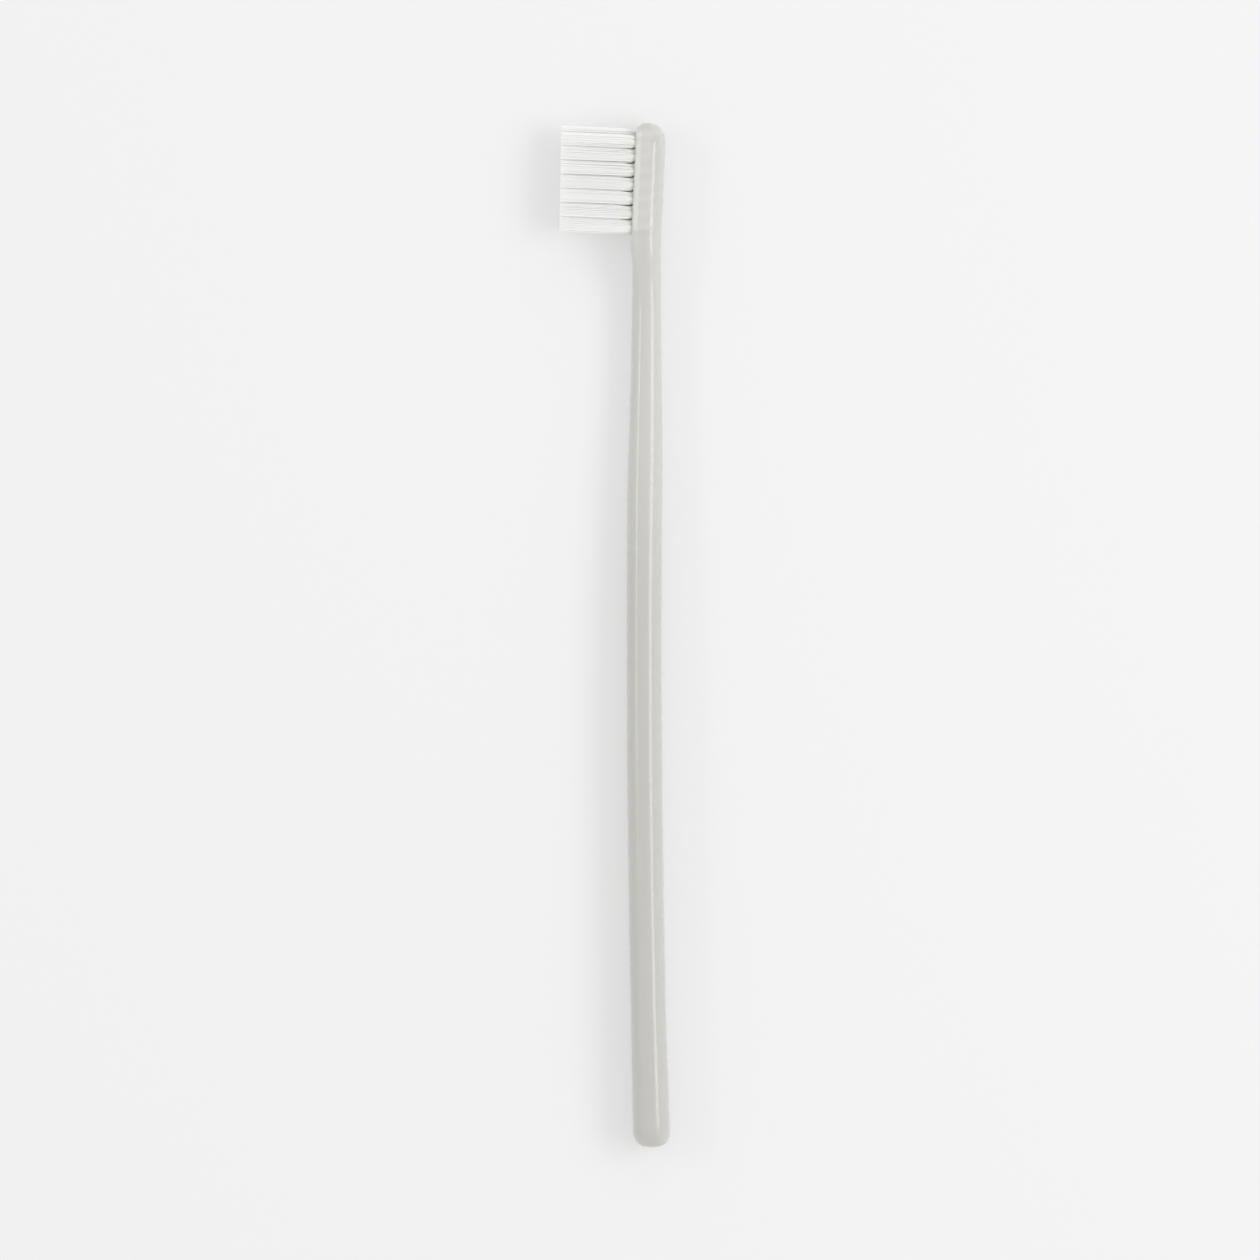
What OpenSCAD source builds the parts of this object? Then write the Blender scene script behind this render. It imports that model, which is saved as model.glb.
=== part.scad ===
// Toothbrush with a one-piece moulded handle and straight-cut nylon tufts, lying on its side.
// X runs from the bristle tips to the back of the brush, Y towards the tip of the head, Z up.
// The profiles below take u, the distance from the tip of the head along the brush.

/* [Overall] */
// Length from the tip of the head to the end of the tail
total_len = 172; // [150:1:195]
// Radius of the slight backward bow of the whole brush
bow_radius = 2800; // [1600:50:9000]

/* [Tufts] */
// Rows of tufts along the head
rows = 7; // [4:1:9]
// Columns of tufts across the head
cols = 4; // [3:1:5]
// Distance between rows
row_pitch = 2.38; // [2.2:0.02:3]
// Distance between columns
col_pitch = 2.2; // [2.1:0.05:2.8]
// How far the inner tufts of the first row stand nearer to the tip
tip_row_step = 1.1; // [0:0.05:1.5]
// Average length of the tufts above the face
bristle_len = 12.4; // [8:0.1:16]
// Slope of the trimmed tips against the face, in degrees
trim_slope = 1.6; // [0:0.1:3]
// Gap left between the tips of neighbouring tufts
tip_gap = 0.14; // [0.05:0.01:0.4]
// How quickly a tuft fans out above the face, where 1 is evenly over its length
fan_out = 4; // [1:0.5:5]
// Height of the rounded edge of a tuft at its tips
tip_crown = 0.18; // [0.05:0.01:0.4]
// Share of the width of the tips that the rounded edge leaves flat
tip_flat = 0.88; // [0.7:0.01:0.95]
// Filament bundles seen round the outside of a tuft
flutes = 10; // [7:1:12]
// Depth of the grooves between them
flute_depth = 0.07; // [0.03:0.01:0.12]

/* [Tuft holes] */
// Diameter of a tuft hole
hole_d = 1.65; // [1.4:0.05:1.8]
// Depth of a tuft hole below the face
hole_depth = 3.3; // [3:0.1:3.6]
// Clearance between a tuft and its hole
tuft_clear = 0.04; // [0.02:0.01:0.08]
// Solid land between the outer holes and the side of the head
side_wall = 0.78; // [0.75:0.01:2]
// Solid land between the first holes and the tip of the head
tip_wall = 1.43; // [1.3:0.05:3]

/* [Anchors] */
// Thickness of the metal strip
anchor_t = 0.28; // [0.2:0.01:0.35]
// Height of the strip along the hole
anchor_h = 1.2; // [0.8:0.1:1.4]
// How far each end of the strip bites into the wall of its hole
anchor_bite = 0.11; // [0.05:0.01:0.15]
// Depth of the folded filaments under the strip
fold_depth = 0.75; // [0.6:0.05:0.8]
// Turn of the strips against the width of the brush, in degrees
anchor_turn = 35; // [0:5:90]
// Clearance round the strip
anchor_clear = 0.02; // [0.01:0.01:0.04]

/* [Head] */
// Centre line to the flat face that holds the tufts
head_front = 2.74; // [2.5:0.02:3.2]
// Centre line to the back of the head
head_back = 2.14; // [1.9:0.02:2.8]
// Backward lean of the head against the neck, in degrees
head_lean = 1; // [0:0.1:4]
// How far the widest line of the head lies in front of the centre line
side_forward = 1.1; // [0.4:0.05:1.2]
// Length over which the widest line runs back to the centre line
side_run_back = 15; // [10:1:18]
// Depth to which the flat face is cut into the crowned front
face_cut = 0.25; // [0.2:0.01:0.3]
// Length over which the tip rounds off, seen from the front
tip_round = 4.6; // [4:0.1:6]
// Length over which the back of the tip rounds off
tip_back_round = 3.4; // [2.5:0.1:4.5]
// Length over which the front of the tip rounds off
tip_front_round = 1.7; // [0.8:0.1:2]
// Length over which the head narrows into the neck
shoulder_len = 12; // [8:0.5:15]
// Length over which the front of the head runs down to the neck
face_run_out = 6.5; // [4:0.5:9]

/* [Neck] */
// Width of the neck
neck_w = 5.2; // [4.4:0.1:8]
// Centre line to the front of the neck
neck_front = 2.61; // [2:0.01:3.2]
// Where the neck begins to widen
neck_end = 36; // [32:1:50]
// Distance from the last holes to where the back begins to thicken
back_swell_after = 1.5; // [0:0.5:6]
// Distance from where the neck begins to widen to where its front begins to thicken
front_swell_after = 4; // [0:0.5:8]

/* [Grip] */
// Width of the grip
grip_w = 9.8; // [8:0.1:14]
// Thickness of the grip
grip_t = 5.94; // [5:0.02:8]
// Where the grip reaches its full thickness
grip_start = 65; // [60:1:75]
// How much nearer to the tip the back is already full
back_full_before = 5; // [0:0.5:8]
// Where the grip reaches its full width
full_width_at = 96; // [80:1:110]

/* [Tail] */
// Thickness at the tail
tail_t = 6.3; // [5:0.02:8]
// Length over which the thickness grows to that of the tail
tail_len = 24; // [12:1:30]
// Length over which the end rounds off, seen from the side
tail_round = 3.3; // [2.5:0.1:5]
// Length over which the end rounds off, seen from the front
tail_corner = 5; // [3.5:0.1:7]

/* [Section] */
// Squareness of the front of the head, where 2 is an ellipse
head_front_form = 6; // [5.5:0.1:8]
// Squareness of the back of the head
head_back_form = 3; // [2.6:0.1:4]
// Squareness of the neck
neck_form = 2.2; // [2:0.1:4]
// Squareness of the grip
grip_form = 2.65; // [2:0.05:4]
// Squareness of the rounded tip, seen from the front
tip_form = 2.4; // [2.2:0.1:4]
// Squareness of the rounded end of the tail
tail_form = 2.7; // [2:0.1:3]

/* [Smoothness] */
// Points round each section of the handle
section_points = 44; // [32:4:48]
// Length of the shaft between two sections
section_step = 3; // [2.5:0.1:5]
// Sections in each rounded end
end_steps = 12; // [8:1:14]

/* [Hidden] */
$fn = 48;
TUFTS = [for (row = [1:rows]) for (col = [1:cols]) [row, col]];
function tuft_name(spot) = str("tuft_r", spot[0], "_c", spot[1]);

// Tufted field on the face of the head
hole_r = hole_d / 2;
tuft_r = hole_r - tuft_clear;
field_len = (rows - 1) * row_pitch;
field_w = (cols - 1) * col_pitch;
field_start = tip_wall + hole_r + tip_row_step;
field_mid = field_start + field_len / 2;
field_end = field_start + field_len + hole_r;
head_w = field_w + hole_d + 2 * side_wall;
tip_w = col_pitch - tip_gap;
tip_l = row_pitch - tip_gap;

// Where the parts of the handle run into each other
neck_start = field_end + shoulder_len;
front_neck_at = field_end + face_run_out;
front_swell_at = neck_end + front_swell_after;
back_swell_at = field_end + back_swell_after;
back_full_at = grip_start - back_full_before;

// Eased step from 0 at a to 1 at b
function ease(a, b, u) = let (t = min(1, max(0, (u - a) / (b - a)))) t * t * (3 - 2 * t);

// Share of the full size left at distance e from an end that rounds off over a length
function round_off(e, length, form) = let (t = max(0, 1 - e / length)) pow(1 - pow(t, form), 1 / form);

// Centre line: the bow of the whole brush and the lean of the head
function bow_x(u) = bow_radius - sqrt(pow(bow_radius, 2) - pow(u - total_len / 2, 2));
function centre_x(u) = bow_x(u) + tan(head_lean) * max(0, field_end - u);

// Line along which the brush is widest: it lies nearer to the face in the head
function side_shift(u) = side_forward * (1 - ease(neck_start - side_run_back, neck_start, u));
function side_x(u) = centre_x(u) - side_shift(u);

// Width, and distances from the centre line to the front and the back
function body_w(u) =
    head_w + (neck_w - head_w) * ease(field_end, neck_start, u)
    + (grip_w - neck_w) * ease(neck_end, full_width_at, u);
function tail_swell(u) = (tail_t - grip_t) / 2 * ease(total_len - tail_len, total_len, u);
function body_front(u) =
    head_front + face_cut
    + (neck_front - head_front - face_cut) * ease(field_end, front_neck_at, u)
    + (grip_t / 2 - neck_front) * ease(front_swell_at, grip_start, u)
    + tail_swell(u);
function body_back(u) =
    head_back + (grip_t / 2 - head_back) * ease(back_swell_at, back_full_at, u) + tail_swell(u);

// The same from the widest line, with both ends rounded off
function tail_share(u, length) = round_off(total_len - u, length, tail_form);
function half_w(u) = body_w(u) / 2 * round_off(u, tip_round, tip_form) * tail_share(u, tail_corner);
function front(u) =
    (body_front(u) - side_shift(u)) * round_off(u, tip_front_round, 2) * tail_share(u, tail_round);
function back(u) =
    (body_back(u) + side_shift(u)) * round_off(u, tip_back_round, 2) * tail_share(u, tail_round);

// Squareness of the section on its front and back
function form_mix(head_form, u) =
    head_form + (neck_form - head_form) * ease(field_end, neck_start, u)
    + (grip_form - neck_form) * ease(neck_end, full_width_at, u);
function power(v, p) = sign(v) * pow(abs(v), p);
function section_point(u, a) =
    let (is_back = cos(a) > 0)
    let (p = 2 / form_mix(is_back ? head_back_form : head_front_form, u))
    [
        side_x(u) + (is_back ? back(u) : front(u)) * power(cos(a), p),
        total_len / 2 - u,
        half_w(u) * power(sin(a), p)
    ];

// Stations of the sections, closer together where the ends round off
shaft_len = total_len - tip_round - tail_corner;
shaft_steps = ceil(shaft_len / section_step);
first_angle = 3;
stations = concat(
    [for (i = [0:end_steps]) tip_round * (1 - cos(first_angle + (90 - first_angle) * i / end_steps))],
    [for (i = [1:shaft_steps - 1]) tip_round + shaft_len * i / shaft_steps],
    [for (i = [0:end_steps]) total_len - tail_corner * (1 - sin((90 - first_angle) * i / end_steps))]
);
function section(u) = [for (j = [0:section_points - 1]) section_point(u, 360 * j / section_points)];

// The flat face of the head, square to the tufts
face_tilt = asin((total_len / 2 - field_mid) / bow_radius) + head_lean;
face_x = centre_x(field_mid) - head_front;
function tuft_y(spot) =
    field_len / 2 - (spot[0] - 1) * row_pitch
    + (spot[0] == 1 && spot[1] > 1 && spot[1] < cols ? tip_row_step : 0);
function tuft_z(spot) = (spot[1] - (cols + 1) / 2) * col_pitch;
function tuft_len(spot) = bristle_len + tuft_y(spot) * tan(trim_slope);

// Anchor strip and the depth at which it sits
anchor_len = hole_d + 2 * anchor_bite;
anchor_seat = hole_depth - fold_depth;
root_len = hole_depth - tuft_clear;
fold_r = 1.15 * tuft_r;

// Filament bundle above its root, which it grips a little way down the hole
bundle_r = tuft_r - 0.03;
bundle_sink = 0.3;
fan_shares = [0.2, 0.5, 1];

// Lying on its side: rolled until the side of the handle and the lowest tips both touch the ground
function tip_x(spot) = face_x + tuft_y(spot) * sin(face_tilt) - tuft_len(spot) * cos(face_tilt);
tips_x = min([for (spot = TUFTS) tip_x(spot)]) - tip_l / 2 * sin(face_tilt);
tips_z = (field_w + tip_w) / 2;
surface = [for (u = stations) each section(u)];
lie_roll = max([for (p = surface) atan((p[2] - tips_z) / (p[0] - tips_x))]);
lie_height = tips_z * cos(lie_roll) - tips_x * sin(lie_roll);
front_end_x = tips_x * cos(lie_roll) - tips_z * sin(lie_roll);
back_end_x = max([for (p = surface) p[0] * cos(lie_roll) - p[2] * sin(lie_roll)]);
middle_x = (front_end_x + back_end_x) / 2;

module in_place() {
    translate([-middle_x, 0, lie_height]) rotate([0, -lie_roll, 0]) children();
}

// Origin in the middle of the tufted face, with X into the head and Y towards its tip
module on_face() {
    translate([face_x, total_len / 2 - field_mid, 0]) rotate([0, 0, -face_tilt]) children();
}

// Origin where a tuft leaves the face, with Z along the tuft
module at_tuft(spot) {
    on_face() translate([0, tuft_y(spot), tuft_z(spot)]) rotate([0, -90, 0]) children();
}

// Closed skin over a stack of rings with as many points each
module skin(rings) {
    n = len(rings[0]);
    last = len(rings) - 1;
    sides = [
        for (i = [0:last - 1]) for (j = [0:n - 1]) let (k = (j + 1) % n)
        [i * n + j, (i + 1) * n + j, (i + 1) * n + k, i * n + k]
    ];
    first_cap = [for (j = [0:n - 1]) j];
    last_cap = [for (j = [0:n - 1]) last * n + n - 1 - j];
    polyhedron(points = [for (ring = rings) each ring], faces = concat(sides, [first_cap, last_cap]));
}

module handle_blank() {
    skin([for (u = stations) section(u)]);
}

module face_trim() {
    size = 2 * (field_end + shoulder_len);
    on_face() translate([-size, -size / 2, -size / 2]) cube(size);
}

// Blind hole with the slit that the strip cuts on its way down
module tuft_hole() {
    mouth = 0.5;
    slit_l = anchor_len + 2 * anchor_clear;
    slit_t = anchor_t + 2 * anchor_clear;
    translate([0, 0, -hole_depth]) cylinder(r = hole_r, h = hole_depth + mouth);
    rotate([0, 0, anchor_turn])
        translate([-slit_l / 2, -slit_t / 2, -anchor_seat]) cube([slit_l, slit_t, anchor_seat + mouth]);
}

module handle() {
    color([0.78, 0.78, 0.75]) in_place() difference() {
        handle_blank();
        face_trim();
        for (spot = TUFTS) at_tuft(spot) tuft_hole();
    }
}

// Ring round the filament bundle, with a groove between each two strands
function bundle_ring(z, across, along) = [
    for (i = [0:2 * flutes - 1]) let (a = 180 * i / flutes, share = i % 2 == 0 ? 1 : 1 - flute_depth / tuft_r)
    [across * share * cos(a), along * share * sin(a), z]
];

// Ring at a height, as thick as the tuft has become at that share of its length
function fanned_ring(z, share) =
    let (fan = 1 - pow(1 - share, fan_out))
    bundle_ring(z, bundle_r + (tip_w / 2 - bundle_r) * fan, bundle_r + (tip_l / 2 - bundle_r) * fan);

module bundle(spot) {
    edge = tuft_len(spot) - tip_crown;
    skin([
        fanned_ring(-bundle_sink, 0),
        for (share = fan_shares) fanned_ring(edge * share, share),
        bundle_ring(tuft_len(spot), tip_w / 2 * tip_flat, tip_l / 2 * tip_flat)
    ]);
}

// Filaments folded over the strip at the foot of the hole
module tuft_root() {
    intersection() {
        translate([0, 0, -root_len]) cylinder(r = tuft_r, h = root_len);
        rotate([0, 0, anchor_turn]) union() {
            translate([-hole_d, 0, fold_r - root_len]) rotate([0, 90, 0]) cylinder(r = fold_r, h = 2 * hole_d);
            translate([-hole_d, -hole_d, fold_r - root_len]) cube([2 * hole_d, 2 * hole_d, root_len]);
        }
    }
}

module anchor_window() {
    window_t = anchor_t + 2 * anchor_clear;
    window_h = anchor_h + 2 * anchor_clear;
    rotate([0, 0, anchor_turn])
        translate([-hole_d, -window_t / 2, -anchor_seat - anchor_clear]) cube([2 * hole_d, window_t, window_h]);
}

module tuft(spot) {
    color([0.95, 0.95, 0.94]) in_place() at_tuft(spot) {
        difference() {
            tuft_root();
            anchor_window();
        }
        bundle(spot);
    }
}

module tuft_anchors() {
    color([0.8, 0.7, 0.45]) in_place() for (spot = TUFTS) {
        at_tuft(spot) rotate([0, 0, anchor_turn])
            translate([-anchor_len / 2, -anchor_t / 2, -anchor_seat]) cube([anchor_len, anchor_t, anchor_h]);
    }
}

handle();
tuft_anchors();
for (spot = TUFTS) {
    tuft(spot);
}
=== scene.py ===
"""A toothbrush lying on its side on a white surface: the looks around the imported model.

Metres, in the frame of the model: +Y runs along the brush to the tip of the head,
the tufts point to -X, and +Z is up.
"""
import math
import random

import bmesh
import bpy
from mathutils import Matrix, Vector


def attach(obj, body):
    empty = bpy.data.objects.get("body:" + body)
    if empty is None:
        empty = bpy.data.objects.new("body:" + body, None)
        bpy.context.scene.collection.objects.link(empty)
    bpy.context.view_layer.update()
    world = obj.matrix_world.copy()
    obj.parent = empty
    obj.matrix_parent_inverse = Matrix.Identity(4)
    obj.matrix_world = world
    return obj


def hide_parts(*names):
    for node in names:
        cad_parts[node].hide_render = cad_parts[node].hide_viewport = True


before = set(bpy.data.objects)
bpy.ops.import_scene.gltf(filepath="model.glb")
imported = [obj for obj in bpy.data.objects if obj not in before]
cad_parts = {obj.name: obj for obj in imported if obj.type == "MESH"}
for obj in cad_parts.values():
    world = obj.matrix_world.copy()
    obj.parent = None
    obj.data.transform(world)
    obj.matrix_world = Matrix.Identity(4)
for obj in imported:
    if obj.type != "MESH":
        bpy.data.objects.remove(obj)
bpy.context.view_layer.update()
MM = 0.001

# Camera: straight down, with the tip of the head at the top of the picture
VIEW_WIDTH = 211.5 * MM
VIEW_CENTRE = (2.57 * MM, 0.84 * MM)
VIEW_HEIGHT = 4.9 * MM
CAMERA_ABOVE = 3000 * MM
SENSOR = 36

# In its hole a tuft is packed in rows on both sides of a flat strip, and folded under it
FILAMENT_D = 0.178 * MM
FILAMENT_SIDES = 5
STRIP_T = 0.28 * MM
STRIP_TURN = math.radians(35)
STRIP_SEAT = 2.55 * MM
TUFT_ROOT = 3.26 * MM
TUFT_ROOT_R = 0.785 * MM
AXIS_REACH = TUFT_ROOT_R - FILAMENT_D / 2
PACKING_SLACK = 0.01 * MM

# Outside it fans out at once, across and along the head, to a tip cut at a slight slope
TIP_REACH = (1.02 * MM, 1.19 * MM)
FAN_SPEED = 28
TRIM_SLOPE = math.radians(1.6)
TRIM_SHORT = 0.03 * MM
TRIM_UNEVEN = 0.05 * MM
TIP_SCATTER = 0.02 * MM
SWAY = 0.035 * MM
FIRST_SEED = 300

# Stations of a filament: shares of the length of a leg, from its tip to the face,
# and in the fold shares of its distance from the strip, with shares of its depth below
LEG_SHARES = (1, 0.2, 0.05, 0)
FOLD = ((1, 0.3), (0.78, 1), (-0.78, 1), (-1, 0.3))

# The smoothed handle keeps the edges that turn by more than this
CRISP_EDGE = math.radians(28)
MERGE_DISTANCE = 0.001 * MM

# White filaments pass light on to each other many times before it leaves a tuft
LIGHT_BOUNCES = 24


class Signal:
    """A socket in a shader, on which sums and products add the Math nodes they need."""

    def __init__(self, finish, socket):
        self.finish = finish
        self.socket = socket

    def math(self, operation, *values):
        return self.finish.node("ShaderNodeMath", {"operation": operation}, dict(enumerate(values)))

    def __add__(self, other):
        return self.math("ADD", self, other)

    def __radd__(self, other):
        return self.math("ADD", other, self)

    def __sub__(self, other):
        return self.math("SUBTRACT", self, other)

    def __rsub__(self, other):
        return self.math("SUBTRACT", other, self)

    def __mul__(self, other):
        return self.math("MULTIPLY", self, other)

    def __rmul__(self, other):
        return self.math("MULTIPLY", other, self)

    def cosine(self):
        return self.math("COSINE", self)

    def or_more(self, other):
        return self.math("MAXIMUM", self, other)

    def between(self, low, high):
        """0 below low, 1 above high, and eased from one to the other."""
        return self.finish.node(
            "ShaderNodeMapRange",
            {"interpolation_type": "SMOOTHSTEP"},
            {"Value": self, "From Min": low, "From Max": high},
        )


class Finish:
    """A material round one Principled shader."""

    def __init__(self, name, **constants):
        self.material = bpy.data.materials.new(name)
        self.material.use_nodes = True
        self.tree = self.material.node_tree
        self.shader = self.tree.nodes["Principled BSDF"]
        for name, value in constants.items():
            socket = name.replace("_", " ").title().replace("Ior", "IOR")
            self.shader.inputs[socket].default_value = value

    def node(self, kind, settings=None, sockets=None, out=0):
        """A node with its settings made first, then the values or links of its sockets."""
        node = self.tree.nodes.new(kind)
        for name, value in (settings or {}).items():
            setattr(node, name, value)
        for name, value in (sockets or {}).items():
            if isinstance(value, Signal):
                self.tree.links.new(value.socket, node.inputs[name])
            else:
                node.inputs[name].default_value = value
        return Signal(self, node.outputs[out])

    def feed(self, socket, signal):
        self.tree.links.new(signal.socket, self.shader.inputs[socket])

    def place(self, scale=(1, 1, 1)):
        """Object coordinates, scaled."""
        coordinates = self.node("ShaderNodeTexCoord", out="Object")
        return self.node("ShaderNodeMapping", sockets={"Vector": coordinates, "Scale": scale})

    def noise(self, place, scale):
        return self.node("ShaderNodeTexNoise", sockets={"Vector": place, "Scale": scale, "Detail": 2})

    def axis(self, place, letter):
        return self.node("ShaderNodeSeparateXYZ", sockets={"Vector": place}, out=letter)

    def tint(self, factor, dark, light):
        """A colour between two, by a factor from 0 to 1."""
        ends = [colour if isinstance(colour, Signal) else (*colour, 1) for colour in (dark, light)]
        return self.node("ShaderNodeMix", {"data_type": "RGBA"}, {0: factor, 6: ends[0], 7: ends[1]}, out=2)

    def show_white(self, share, white):
        """Gives the camera, mirrors and glass a share of plain white in place of the lit surface."""
        names = ("Is Camera Ray", "Is Glossy Ray", "Is Transmission Ray")
        seen = [self.node("ShaderNodeLightPath", out=name) for name in names]
        factor = seen[0].or_more(seen[1]).or_more(seen[2]) * share
        glow = self.node("ShaderNodeEmission", sockets={"Color": (white, white, white, 1)})
        lit = Signal(self, self.shader.outputs["BSDF"])
        mixed = self.node("ShaderNodeMixShader", sockets={"Fac": factor, 1: lit, 2: glow})
        self.tree.links.new(mixed.socket, self.tree.nodes["Material Output"].inputs["Surface"])


def tuft_seat(node):
    """A tuft's length, and the matrix of its seat: across, along, out of the face, and its middle there.

    Its solid has flat faces square to its length at its tip and round its rim at the face.
    """
    mesh = node.data
    flats = [face for face in mesh.polygons if face.normal.x < -0.99]
    out = min(flats, key=lambda face: face.center.x).normal.copy()
    levels = [round(face.center.dot(out) / MM, 1) for face in flats]
    tip_level, rim_level = sorted(set(levels), reverse=True)[:2]
    corners = {
        level: {
            tuple(round(value, 7) for value in mesh.vertices[index].co)
            for face, found in zip(flats, levels) if found == level
            for index in face.vertices
        }
        for level in (tip_level, rim_level)
    }
    tip, rim = (
        sum((Vector(point) for point in points), Vector()) / len(points) for points in corners.values()
    )
    length = (tip - rim).dot(out)
    along = (Vector((0, 1, 0)) - out * out.y).normalized()
    across = along.cross(out)
    seat = Matrix((across, along, out)).transposed().to_4x4()
    seat.translation = tip - out * length
    return seat, length


tuft_nodes = {name: node for name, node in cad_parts.items() if name.startswith("tuft_r")}
seats = {name: tuft_seat(node) for name, node in tuft_nodes.items()}


def handle_plastic():
    """Polished, slightly cloudy grey plastic, paler in the head, where the white tufts show through, with
    painted light: lighter towards the head, and a painted highlight behind the face.
    """
    finish = Finish(
        "handle_plastic", ior=1.49, subsurface_weight=0.8, subsurface_scale=3 * MM,
        subsurface_radius=(1, 0.98, 0.93),
    )
    place = finish.place()
    along = finish.axis(place, "Y")
    across = finish.axis(place, "X")

    # Slow flow marks in the grip, and painted light: a lighter tone towards the head, where the light falls
    # stronger
    flow = finish.noise(finish.place(scale=(1, 0.12, 1)), 260)
    grip = finish.tint(flow, (0.565, 0.56, 0.535), (0.595, 0.59, 0.565))
    plastic = finish.tint(along.between(0, 35 * MM), grip, (0.63, 0.625, 0.6))

    # The rows of tufts, from the first at the tip to the last at the neck
    holes = [seat.translation for seat, length in seats.values()]
    first, last = max(hole.y for hole in holes), min(hole.y for hole in holes)
    pitch = seats["tuft_r6_c1"][0].translation.y - seats["tuft_r7_c1"][0].translation.y
    in_field = along.between(last - pitch / 2, last) * (1 - along.between(first, first + pitch / 2))

    # A painted highlight: a pale band just behind the face, where its rounded edge catches the light; the
    # band leans with the head
    at_tip, at_neck = (seats[name][0].translation for name in ("tuft_r1_c4", "tuft_r7_c4"))
    lean = (at_tip.x - at_neck.x) / (at_tip.y - at_neck.y)
    behind_face = across - at_neck.x - (along - at_neck.y) * lean
    rim = in_field * behind_face.between(0, 0.3 * MM) * (1 - behind_face.between(0.7 * MM, 1.1 * MM))
    plastic = finish.tint(rim * 0.9, plastic, (0.8, 0.79, 0.73))

    # The folded roots, a little paler at each row
    face_x = sum(hole.x for hole in holes) / len(holes)
    in_hole = 1 - across.between(face_x + 0.7 * TUFT_ROOT, face_x + 1.2 * TUFT_ROOT)
    row = ((along - last) * (2 * math.pi / pitch)).cosine() * 0.5 + 0.5
    roots = in_field * in_hole * (row * 0.4 + 0.6)
    finish.feed("Base Color", finish.tint(roots * 0.5, plastic, (0.855, 0.835, 0.78)))

    finish.feed("Roughness", finish.noise(finish.place(scale=(1, 0.25, 1)), 1500) * 0.06 + 0.11)
    return finish.material


def bristle_nylon():
    """White nylon filaments, a touch yellower at the root, each with a tone of its own."""
    finish = Finish("bristle_nylon", roughness=0.4, ior=1.53)
    strand = finish.node("ShaderNodeAttribute", {"attribute_name": "strand"}, out="Fac")
    rise = finish.node("ShaderNodeAttribute", {"attribute_name": "rise"}, out="Fac")
    tone = finish.tint(strand, (0.95, 0.95, 0.945), (0.985, 0.985, 0.98))
    finish.feed("Base Color", finish.tint(rise.between(-0.05, 0.3), (0.97, 0.975, 0.935), tone))
    return finish.material


def anchor_metal():
    """Bright stamped brass strip with fine rolling lines."""
    finish = Finish("anchor_metal", metallic=1.0)
    lines = finish.noise(finish.place(scale=(1, 1, 0.1)), 9000)
    finish.feed("Base Color", finish.tint(lines, (0.74, 0.62, 0.36), (0.84, 0.73, 0.47)))
    finish.feed("Roughness", lines * 0.2 + 0.22)
    return finish.material


def wear(piece, material):
    piece.data.materials.clear()
    piece.data.materials.append(material)


def mesh_object(name, bm):
    """An object at the origin, with its place in its mesh."""
    mesh = bpy.data.meshes.new(name)
    bm.to_mesh(mesh)
    bm.free()
    piece = bpy.data.objects.new(name, mesh)
    bpy.context.scene.collection.objects.link(piece)
    return piece


def new_piece(name, bm, material, node):
    """A finished mesh that rides on the brush and stands for its node."""
    piece = mesh_object(name, bm)
    wear(piece, material)
    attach(piece, "root")
    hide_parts(node)
    return piece


def handle(material):
    """The moulded handle, with smooth flanks and crisp edges at its face and holes."""
    bm = bmesh.new()
    bm.from_mesh(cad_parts["handle"].data)
    bmesh.ops.remove_doubles(bm, verts=bm.verts, dist=MERGE_DISTANCE)
    bmesh.ops.dissolve_degenerate(bm, edges=bm.edges, dist=MERGE_DISTANCE)
    bmesh.ops.join_triangles(
        bm, faces=bm.faces,
        angle_face_threshold=math.radians(25), angle_shape_threshold=math.radians(70),
    )
    crease = bm.edges.layers.float.new("crease_edge")
    for face in bm.faces:
        face.smooth = True
    for edge in bm.edges:
        edge.smooth = edge.calc_face_angle(0) < CRISP_EDGE
        edge[crease] = 0 if edge.smooth else 1
    piece = new_piece("moulded_handle", bm, material, "handle")
    rounding = piece.modifiers.new("Rounding", "SUBSURF")
    rounding.levels = 1
    rounding.render_levels = 1


def packed_rows():
    """Places of the filaments on one side of the strip: along it and away from it, in touching rows."""
    first = STRIP_T / 2 + FILAMENT_D / 2
    row_step = FILAMENT_D * math.sqrt(3) / 2
    places = []
    row = 0
    while first + row * row_step <= AXIS_REACH + PACKING_SLACK:
        away = first + row * row_step
        half = math.sqrt(max(0, AXIS_REACH**2 - away**2))
        offset = 0.5 if row % 2 == 0 else 0
        count = int(half / FILAMENT_D - offset + 0.02)
        steps = [offset + i for i in range(count + 1)]
        both_ways = sorted({side * step for step in steps for side in (-1, 1)})
        places += [
            (step * FILAMENT_D, away) for step in both_ways
            if abs(step * FILAMENT_D) <= half + PACKING_SLACK
        ]
        row += 1
    return places


def turned(along_strip, away):
    """From the directions of the strip to across and along the head."""
    return Vector((
        along_strip * math.cos(STRIP_TURN) - away * math.sin(STRIP_TURN),
        along_strip * math.sin(STRIP_TURN) + away * math.cos(STRIP_TURN),
    ))


def tip_place(along_strip, away, side):
    """Where a filament stands in a tip of unit radius: the gap of the strip closes and the rows spread."""
    inner = STRIP_T / 2
    u = along_strip / math.sqrt(AXIS_REACH**2 - inner**2)
    depth = math.sqrt(max(0, AXIS_REACH**2 - along_strip**2)) - inner
    w = side * min(1, (away - inner) / depth) * math.sqrt(max(0, 1 - u * u))
    return turned(u, w)


def spread(share):
    """How far a tuft has fanned out at a share of its length: quickly at first, then almost parallel."""
    return 1 - (1 - share) ** FAN_SPEED


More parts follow.
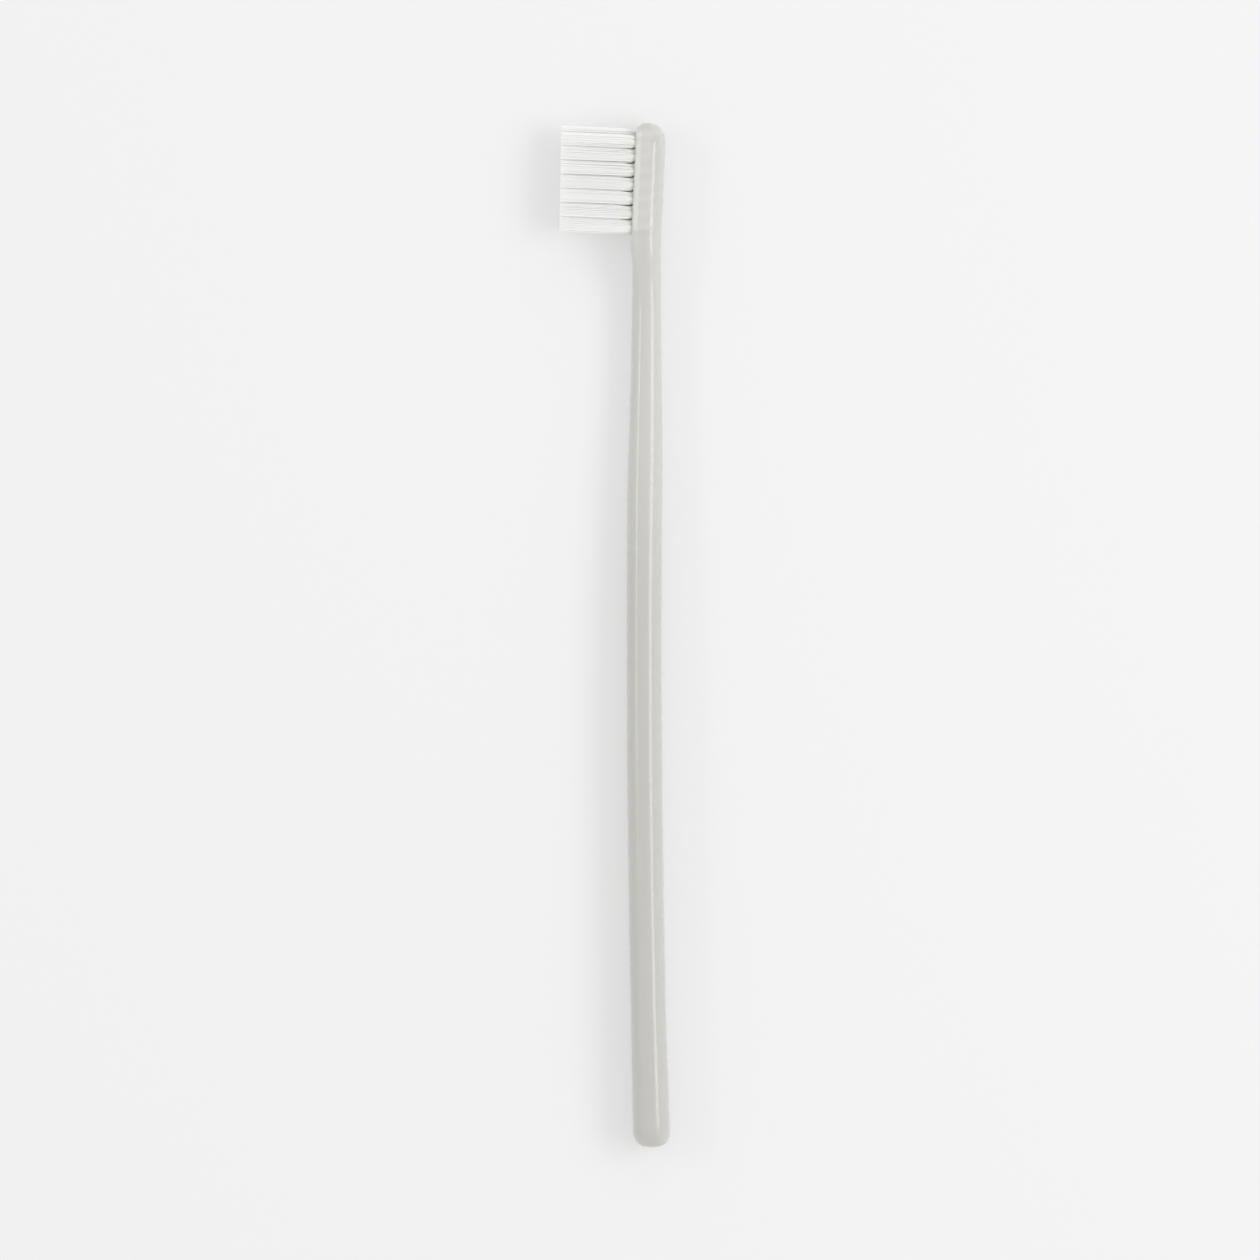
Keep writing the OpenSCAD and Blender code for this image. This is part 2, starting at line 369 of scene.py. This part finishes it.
def filament_path(along_strip, away, length, chance):
    """Stations of one folded filament, from one tip to the other."""
    legs = []
    for side in (1, -1):
        root = turned(along_strip, side * away)
        tip = tip_place(along_strip, away, side)
        tip.x = tip.x * (TIP_REACH[0] - FILAMENT_D / 2) + chance.gauss(0, TIP_SCATTER)
        tip.y = tip.y * (TIP_REACH[1] - FILAMENT_D / 2) + chance.gauss(0, TIP_SCATTER)
        own = length - TRIM_SHORT + tip.y * math.tan(TRIM_SLOPE) - chance.random() * TRIM_UNEVEN
        sway = turned(chance.gauss(0, SWAY), chance.gauss(0, SWAY))
        leg = []
        for share in LEG_SHARES:
            centre = root.lerp(tip, spread(share)) + sway * math.sin(math.pi * share)
            leg.append((centre.x, centre.y, share * own))
        legs.append(leg)
    layer = (away - STRIP_T / 2) / (TUFT_ROOT_R - STRIP_T / 2)
    fold_depth = (TUFT_ROOT - STRIP_SEAT) * layer
    fold = []
    for nearer, deeper in FOLD:
        centre = turned(along_strip, away * nearer)
        fold.append((centre.x, centre.y, -STRIP_SEAT - fold_depth * deeper))
    return legs[0] + fold + legs[1][::-1]


def straight_filament(rings):
    """A straight tube of unit radius with its rings one unit apart."""
    bm = bmesh.new()
    bmesh.ops.create_cone(
        bm, cap_ends=True, segments=FILAMENT_SIDES, radius1=1, radius2=1, depth=rings - 1,
        matrix=Matrix.Translation((0, 0, (rings - 1) / 2)),
    )
    long_edges = [edge for edge in bm.edges if edge.calc_length() > rings - 2]
    bmesh.ops.subdivide_edges(bm, edges=long_edges, cuts=rings - 2)
    mesh = bpy.data.meshes.new("straight_filament")
    bm.to_mesh(mesh)
    bm.free()
    return mesh


def bend_along(verts, path):
    """Moves the rings of a straight tube to the stations of a path."""
    points = [Vector(station) for station in path]
    strip = Vector((math.cos(STRIP_TURN), math.sin(STRIP_TURN), 0))
    last = len(points) - 1
    for vert in verts:
        ring = round(vert.co.z)
        heading = (points[min(ring + 1, last)] - points[max(ring - 1, 0)]).normalized()
        side = (strip - heading * strip.dot(heading)).normalized()
        up = heading.cross(side)
        vert.co = points[ring] + (side * vert.co.x + up * vert.co.y) * (FILAMENT_D / 2)


def tuft(name, seat, length, straight, material, chance):
    """Folded filaments with their fold under the strip, fanned out to a flat-cut tip."""
    bm = bmesh.new()
    strand = bm.verts.layers.float.new("strand")
    rise = bm.verts.layers.float.new("rise")
    done = 0
    for along_strip, away in packed_rows():
        bm.from_mesh(straight)
        bm.verts.ensure_lookup_table()
        new = bm.verts[done:]
        done = len(bm.verts)
        bend_along(new, filament_path(along_strip, away, length, chance))
        tone = chance.random()
        for vert in new:
            vert[strand] = tone
            vert[rise] = vert.co.z / length
    bmesh.ops.transform(bm, matrix=seat, verts=bm.verts)
    new_piece(name, bm, material, name.replace("filaments", "tuft"))


def area_lamp(name, place, target, size, radiance):
    """A flat lamp of a given brightness, turned to its target. White is 1."""
    lamp = bpy.data.lights.new(name, "AREA")
    lamp.shape = "RECTANGLE"
    lamp.size, lamp.size_y = size
    lamp.energy = radiance * math.pi * size[0] * size[1]
    piece = bpy.data.objects.new(name, lamp)
    piece.location = place
    direction = Vector(target) - Vector(place)
    side = direction.cross(Vector((0, 1, 0))).normalized()
    up = side.cross(direction).normalized()
    piece.rotation_euler = Matrix((side, up, -direction.normalized())).transposed().to_euler()
    bpy.context.scene.collection.objects.link(piece)


def lights():
    """A long strip on the right, a broad lamp beyond the head, a narrow one on the left, and a white sky."""
    middle = (0, 0, VIEW_HEIGHT)
    by_head = (0, 0.18, VIEW_HEIGHT)
    area_lamp("strip_right", (0.63, 0.05, 0.78), middle, size=(0.42, 0.7), radiance=3.25)
    area_lamp("broad_beyond_head", (0.25, 0.95, 0.8), middle, size=(0.9, 0.7), radiance=0.5)
    area_lamp("faint_left", (-0.7, 0.18, 0.72), by_head, size=(0.17, 0.44), radiance=3.8)
    world = bpy.data.worlds.new("studio")
    world.use_nodes = True
    sky = world.node_tree.nodes["Background"].inputs
    sky["Color"].default_value = (1, 1, 1, 1)
    sky["Strength"].default_value = 0.71
    bpy.context.scene.world = world


def floor():
    """The white surface that the brush lies on."""
    bm = bmesh.new()
    bmesh.ops.create_grid(bm, x_segments=1, y_segments=1, size=3)
    surface = mesh_object("floor", bm)
    finish = Finish("floor_white", base_color=(0.9, 0.9, 0.9, 1), roughness=0.9, specular_ior_level=0.2)
    finish.show_white(share=0.47, white=0.88)
    wear(surface, finish.material)


def camera():
    """Far above the brush, so that its sides hardly lean in the picture."""
    data = bpy.data.cameras.new("camera")
    data.sensor_width = SENSOR
    data.lens = SENSOR * CAMERA_ABOVE / VIEW_WIDTH
    piece = bpy.data.objects.new("camera", data)
    piece.location = (*VIEW_CENTRE, VIEW_HEIGHT + CAMERA_ABOVE)
    bpy.context.scene.collection.objects.link(piece)
    bpy.context.scene.camera = piece


handle(handle_plastic())
nylon = bristle_nylon()
straight = straight_filament(2 * len(LEG_SHARES) + len(FOLD))
for number, (name, (seat, length)) in enumerate(sorted(seats.items())):
    chance = random.Random(FIRST_SEED + number)
    tuft(name.replace("tuft", "filaments"), seat, length, straight, nylon, chance)
wear(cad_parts["tuft_anchors"], anchor_metal())
floor()
lights()
camera()
bpy.context.scene.view_settings.view_transform = "Standard"
bpy.context.scene.cycles.diffuse_bounces = LIGHT_BOUNCES
bpy.context.scene.cycles.max_bounces = LIGHT_BOUNCES

bpy.context.view_layer.update()
